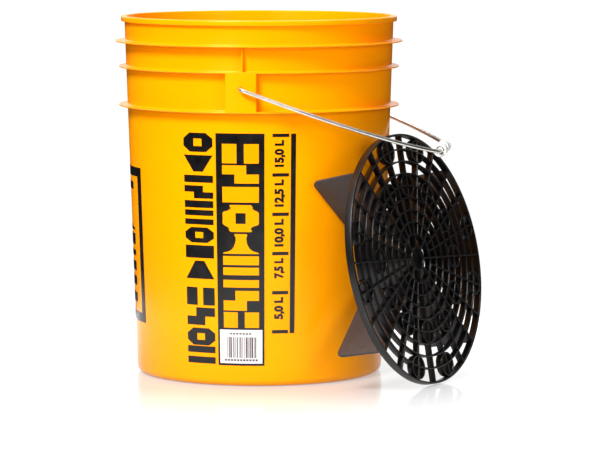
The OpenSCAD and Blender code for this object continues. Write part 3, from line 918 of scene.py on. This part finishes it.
def floor_piece(name, edge, material):
    """A flat piece of the stage at the floor's height, inside the given edge."""
    mesh = bpy.data.meshes.new(name)
    mesh.from_pydata([(x, y, FLOOR_Z) for x, y in edge], [], [tuple(range(len(edge)))])
    floor = bpy.data.objects.new(name, mesh)
    bpy.context.scene.collection.objects.link(floor)
    mesh.materials.append(material)
    return floor


def build_floor():
    """A white sheet that the object stands on, and a wide white floor that only the camera sees.

    The sheet shines by itself as it would under the studio's lamps, less close to the object, so
    that shadows and the object's mirror image show there.
    """
    material, tree, shader = new_material(
        "white_acrylic_sheet", IOR=1.45, Base_Color=linear("#969696"), Emission_Color=(1, 1, 1, 1)
    )
    place = add(tree, "ShaderNodeTexCoord").outputs["Object"]
    haze = add(tree, "ShaderNodeTexNoise", {"Vector": place, "Scale": 1 / (60 * MM)})
    drive(tree, shader.inputs["Roughness"], haze, grey(0.1), grey(0.14))
    away = add(tree, "ShaderNodeVectorMath", {"Vector": place}, operation="LENGTH").outputs["Value"]
    glow = add(
        tree, "ShaderNodeMapRange",
        {"Value": away, "From Min": 0.18, "From Max": 0.48, "To Min": SHEET_GLOW, "To Max": 1.0},
    ).outputs["Result"]
    path = add(tree, "ShaderNodeLightPath")
    part = add(
        tree, "ShaderNodeMapRange",
        {"Value": path.outputs["Is Diffuse Ray"], "To Min": 1.0, "To Max": SHEET_BOUNCE},
    ).outputs["Result"]
    strength = add(tree, "ShaderNodeMath", {0: glow, 1: part}, operation="MULTIPLY")
    tree.links.new(strength.outputs[0], shader.inputs["Emission Strength"])
    floor_piece(
        "sheet", [(-0.55, -0.3), (-0.2, -0.95), (0.5, -0.95), (0.62, 0.45), (-0.55, 0.45)], material
    )
    white, _, _ = new_material(
        "white_floor", Roughness=0.9, Base_Color=(0, 0, 0, 1), Specular_IOR_Level=0,
        Emission_Color=(1, 1, 1, 1), Emission_Strength=1.05,
    )
    wide = floor_piece("wide_floor", [(-9, -3), (9, -3), (9, 15), (-9, 15)], white)
    wide.location.z = -0.001
    for kind in ("diffuse", "glossy", "transmission", "volume_scatter", "shadow"):
        setattr(wide, f"visible_{kind}", False)


def build_surround():
    """White behind the object, as the camera sees it. For light, a dark room with a pale ceiling."""
    world = bpy.data.worlds.new("surround")
    bpy.context.scene.world = world
    world.use_nodes = True
    tree = world.node_tree
    way = add(tree, "ShaderNodeTexCoord").outputs["Generated"]
    parts = add(tree, "ShaderNodeSeparateXYZ", {"Vector": way})
    room = add(
        tree, "ShaderNodeValToRGB", {"Fac": parts.outputs["Z"]},
        [(0.0, grey(0.01)), (0.3, grey(0.05)), (0.6, grey(0.35)), (1.0, grey(0.8))],
    )
    # A white wall low behind, for the sheet's mirror image of it
    behind = add(
        tree, "ShaderNodeMapRange", {"Value": parts.outputs["Y"], "From Min": 0.75, "From Max": 0.95}
    ).outputs["Result"]
    low = add(
        tree, "ShaderNodeMapRange",
        {"Value": parts.outputs["Z"], "From Min": 0.25, "From Max": 0.45, "To Min": 1.0, "To Max": 0.0},
    ).outputs["Result"]
    over = add(tree, "ShaderNodeMath", {0: parts.outputs["Z"], 1: 0.0}, operation="GREATER_THAN").outputs[0]
    wall = add(tree, "ShaderNodeMath", {0: behind, 1: low}, operation="MULTIPLY").outputs[0]
    wall = add(tree, "ShaderNodeMath", {0: wall, 1: over}, operation="MULTIPLY").outputs[0]
    seen = add(tree, "ShaderNodeLightPath").outputs["Is Camera Ray"]
    white = add(tree, "ShaderNodeMath", {0: wall, 1: seen}, operation="MAXIMUM").outputs[0]
    mix = add(
        tree, "ShaderNodeMix", {"Factor": white, 6: room.outputs["Color"], 7: (1, 1, 1, 1)},
        data_type="RGBA",
    )
    tree.links.new(mix.outputs[2], tree.nodes["Background"].inputs["Color"])


def build_lights():
    """A large soft box high on the left, weaker ones low in front and on the right, and one above."""
    for name, place, aim, size, power in (
        ("key", (-1.3, -1.9, 2.4), (0, 0, 0.25), 1.0, 138),
        ("front", (-1.1, -2.35, 0.75), (0, 0, 0.2), 1.2, 28),
        ("fill", (1.7, -2.1, 0.9), (0, 0, 0.2), 1.2, 32),
        ("top", (0.1, 0.5, 1.9), (0, 0, 0.2), 1.0, 16),
    ):
        light = bpy.data.lights.new(name, "AREA")
        light.size = size
        light.energy = power
        lamp = bpy.data.objects.new(name, light)
        lamp.location = place
        lamp.rotation_euler = (Vector(aim) - Vector(place)).to_track_quat("-Z", "Y").to_euler()
        lamp.visible_glossy = name in ("key", "top")
        bpy.context.scene.collection.objects.link(lamp)


def build_stage():
    """Floor, surround and lamps."""
    build_floor()
    build_surround()
    build_lights()


def build_camera():
    """The camera at the object's front."""
    camera = bpy.data.cameras.new("camera")
    camera.sensor_width = SENSOR_W
    camera.lens = LENS
    camera.clip_end = 50.0
    eye = bpy.data.objects.new("camera", camera)
    eye.location = CAMERA_AT
    eye.rotation_euler = (math.pi / 2 - CAMERA_DIP, 0, 0)
    bpy.context.scene.collection.objects.link(eye)
    bpy.context.scene.camera = eye


def main():
    """Everything: the camera and the stage, then the pail, the bail, the grip, the guard and the print."""
    bpy.context.scene.view_settings.view_transform = "Standard"
    build_camera()
    build_stage()
    yellow = pail_polypropylene()
    black = guard_polypropylene("black_polypropylene", "#080707", "#0D0B0B", 0.34)
    # The vanes are the same black plastic as the grille. Their lighter, cool grey base colour is painted
    # sheen: the bright surroundings caught at a grazing angle. The cool grey also offsets the orange light
    # bounced from the pail.
    grey = guard_polypropylene("black_polypropylene_painted_sheen", "#25262A", "#2F3034", 0.3)
    ink = screen_ink()
    build_pail(yellow)
    place, reach = build_bail(galvanised_wire())
    build_grip(grip_polypropylene(), place, reach)
    guard_place = guard_frame()
    build_grille(black, guard_place)
    build_vanes(grey, guard_place)
    build_print(ink, yellow, label_paper(), label_ink())


main()
